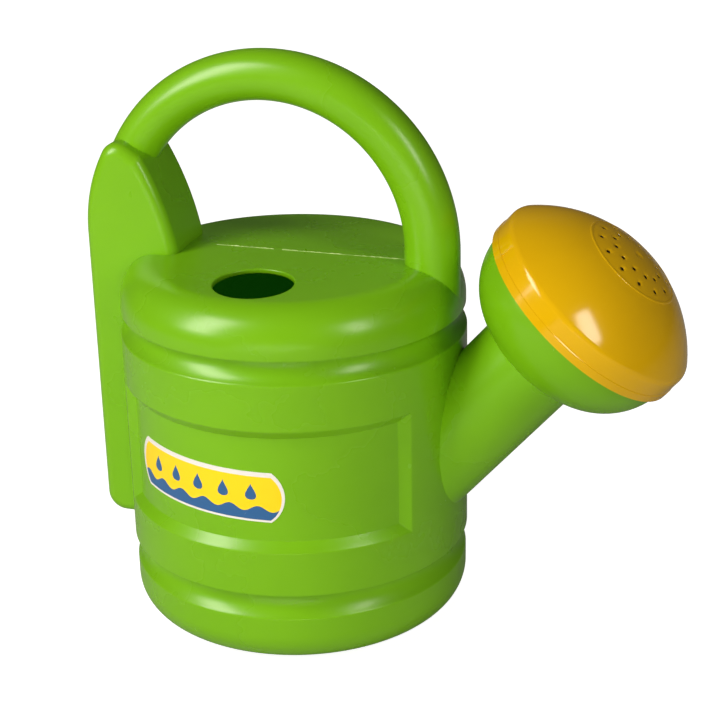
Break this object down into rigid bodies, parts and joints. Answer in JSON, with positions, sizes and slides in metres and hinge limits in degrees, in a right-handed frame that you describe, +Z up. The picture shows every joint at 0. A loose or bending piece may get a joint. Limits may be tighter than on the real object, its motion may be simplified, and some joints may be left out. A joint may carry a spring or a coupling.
{
  "type": "toy watering can",
  "caption": "Child's blow-moulded watering can with a loop handle on a hollow rear column, a round fill hole, and a bell-ended spout with a pull-off domed rose",
  "frame": {"origin": "centre of the standing ring on the floor plane, on the can's vertical axis", "axes": "+Z up, +X towards the spout, -Y towards the label; the moulding is symmetric about Y = 0"},
  "size_m": [0.2308, 0.134, 0.2214],
  "materials": {
    "green_plastic": "satin blow-moulded polyethylene, bright lime green",
    "yellow_plastic": "smooth glossy injection-moulded yellow",
    "label_paper": "printed self-adhesive label, semi-gloss"
  },
  "bodies": {
    "can": {"can_base": "green_plastic", "can_wall": "green_plastic", "can_shoulder": "green_plastic", "rear_column": "green_plastic", "handle": "green_plastic", "spout_tube": "green_plastic", "spout_bell": "green_plastic", "label": "label_paper"},
    "rose": {"rose": "yellow_plastic"}
  },
  "joints": [
    {"name": "rose_pull", "type": "slide", "parent": "can", "child": "rose", "axis": [0.6626, 0, 0.749], "range_m": [0, 0.04]}
  ]
}
